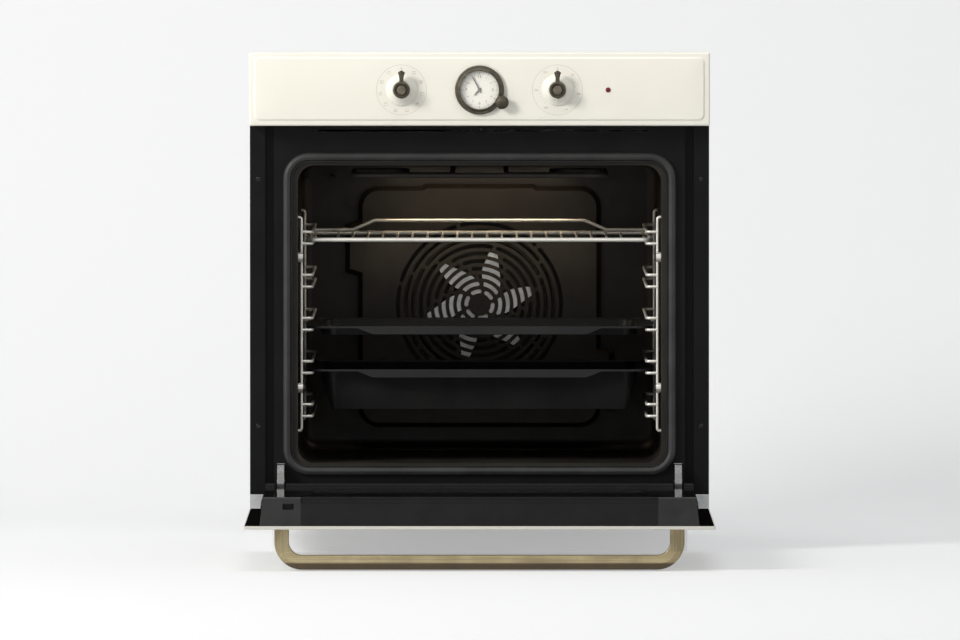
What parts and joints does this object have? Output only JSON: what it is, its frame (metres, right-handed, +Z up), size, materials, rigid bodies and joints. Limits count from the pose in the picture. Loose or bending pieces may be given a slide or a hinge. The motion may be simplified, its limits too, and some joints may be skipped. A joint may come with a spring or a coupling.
{
  "type": "built-in oven",
  "caption": "Built-in electric oven with a drop-down glass door, ivory panel with bell knobs and a round clock, enamelled cavity, wire racks, shelf, trays and a brass bar handle.",
  "frame": {"origin": "centre of the carcass underside, where the oven stands on the niche's shelf", "axes": "+X to the right seen from the front, +Y to the rear wall of the niche, +Z up; the front faces -Y"},
  "size_m": [0.597, 1.05, 0.648],
  "materials": {
    "ivory_enamel": "smooth ivory enamel, semi-gloss",
    "ivory_plastic": "smooth ivory, semi-gloss",
    "aged_bronze": "dark antique bronze, satin",
    "antique_brass": "aged brass, satin with darker hollows",
    "dial_enamel": "matt cream with printed marks",
    "hand_enamel": "matt black",
    "clear_glass": "clear",
    "red_lens": "clear red, polished",
    "black_enamel": "black enamel, gloss",
    "cavity_enamel": "dark speckled enamel, semi-gloss",
    "gasket_rubber": "silicone over glass braid, satin",
    "mineral_wool": "fibrous, matt",
    "galvanised_steel": "zinc-coated sheet, dull",
    "tray_enamel": "black enamel, semi-gloss",
    "chrome_wire": "bright chromium plate",
    "bright_steel": "plain steel, satin",
    "element_steel": "heat-darkened steel tube",
    "black_plastic": "moulded, matt",
    "ceramic_body": "unglazed, matt",
    "door_black": "black powder coat, satin",
    "printed_glass": "black printed border round a dark tinted pane",
    "tinted_glass": "dark tint, polished",
    "motor_steel": "stacked sheet with a varnished coil",
    "fan_aluminium": "pressed sheet"
  },
  "bodies": {
    "oven_body": {"control_panel": "ivory_enamel", "clock_bezel": "aged_bronze", "clock_dial": "dial_enamel", "clock_glass": "clear_glass", "lamp_glass": "clear_glass", "indicator_lamp": "red_lens", "front_frame": "black_enamel", "cavity": "cavity_enamel", "fan_cover": "cavity_enamel", "door_gasket": "gasket_rubber", "insulation": "mineral_wool", "side_panels": "galvanised_steel", "top_cover": "galvanised_steel", "rear_panel": "galvanised_steel", "base_pan": "galvanised_steel", "air_duct": "galvanised_steel", "control_bracket": "galvanised_steel", "niche_spacers": "galvanised_steel", "hinge_receivers": "galvanised_steel", "side_racks": "chrome_wire", "cavity_screws": "bright_steel", "temperature_sensor": "bright_steel", "hinge_arms": "bright_steel", "ring_element": "element_steel", "grill_element": "element_steel", "bottom_element": "element_steel", "function_switch": "black_plastic", "thermostat": "black_plastic", "clock_housing": "black_plastic", "door_switch": "black_plastic", "terminal_box": "black_plastic", "lamp_holder": "ceramic_body", "fan_motor": "motor_steel", "blower_motor": "motor_steel"},
    "door": {"door_front": "ivory_enamel", "door_outer_glass": "tinted_glass", "door_middle_glass": "clear_glass", "door_inner_glass": "printed_glass", "door_side_profiles": "door_black", "door_bottom_profile": "door_black", "door_top_profile": "door_black", "door_caps": "black_plastic", "handle": "antique_brass", "handle_screws": "bright_steel", "hinge_cases": "bright_steel", "hinge_pins": "bright_steel", "hinge_springs": "bright_steel"},
    "function_knob": {"left_knob": "aged_bronze", "left_knob_skirt": "ivory_plastic"},
    "thermostat_knob": {"right_knob": "aged_bronze", "right_knob_skirt": "ivory_plastic"},
    "clock_setting_knob": {"clock_knob": "aged_bronze"},
    "minute_hand": {"minute_hand": "hand_enamel"},
    "hour_hand": {"hour_hand": "hand_enamel"},
    "door_switch_plunger": {"door_switch_plunger": "black_plastic"},
    "convection_fan": {"convection_fan": "fan_aluminium"},
    "blower_wheel": {"blower_wheel": "fan_aluminium"},
    "wire_shelf": {"wire_shelf": "chrome_wire"},
    "shallow_tray": {"shallow_tray": "tray_enamel"},
    "deep_tray": {"deep_tray": "tray_enamel"}
  },
  "joints": [
    {"name": "door_hinge", "type": "hinge", "parent": "oven_body", "child": "door", "pos_m": [0, -0.2995, 0.012], "axis": [1, 0, 0], "range_deg": [-90, 0]},
    {"name": "function_turn", "type": "hinge", "parent": "oven_body", "child": "function_knob", "pos_m": [-0.101, -0.3125, 0.5466], "axis": [0, 1, 0], "continuous": true},
    {"name": "thermostat_turn", "type": "hinge", "parent": "oven_body", "child": "thermostat_knob", "pos_m": [0.101, -0.3125, 0.5466], "axis": [0, 1, 0], "range_deg": [0, 290]},
    {"name": "clock_setting", "type": "hinge", "parent": "oven_body", "child": "clock_setting_knob", "pos_m": [0.029, -0.3125, 0.5306], "axis": [0, 1, 0], "continuous": true},
    {"name": "minute_turn", "type": "hinge", "parent": "oven_body", "child": "minute_hand", "pos_m": [0, -0.3125, 0.5466], "axis": [0, 1, 0], "continuous": true},
    {"name": "hour_turn", "type": "hinge", "parent": "oven_body", "child": "hour_hand", "pos_m": [0, -0.3125, 0.5466], "axis": [0, 1, 0], "continuous": true},
    {"name": "fan_spin", "type": "hinge", "parent": "oven_body", "child": "convection_fan", "pos_m": [0, 0.1529, 0.254], "axis": [0, 1, 0], "continuous": true},
    {"name": "blower_spin", "type": "hinge", "parent": "oven_body", "child": "blower_wheel", "pos_m": [0, 0.0647, 0.5058], "axis": [1, 0, 0], "continuous": true},
    {"name": "shelf_slide", "type": "slide", "parent": "oven_body", "child": "wire_shelf", "axis": [0, -1, 0], "range_m": [0, 0.3]},
    {"name": "shallow_tray_slide", "type": "slide", "parent": "oven_body", "child": "shallow_tray", "axis": [0, -1, 0], "range_m": [0, 0.3]},
    {"name": "deep_tray_slide", "type": "slide", "parent": "oven_body", "child": "deep_tray", "axis": [0, -1, 0], "range_m": [0, 0.3]},
    {"name": "door_switch_press", "type": "slide", "parent": "oven_body", "child": "door_switch_plunger", "axis": [0, 1, 0], "range_m": [0, 0.0065]}
  ],
  "couplings": [
    {"joint": "minute_turn", "follows": "clock_setting", "ratio": 1},
    {"joint": "hour_turn", "follows": "clock_setting", "ratio": 0.083333},
    {"joint": "door_switch_press", "follows": "door_hinge", "m_per_rad": -0.004074}
  ]
}
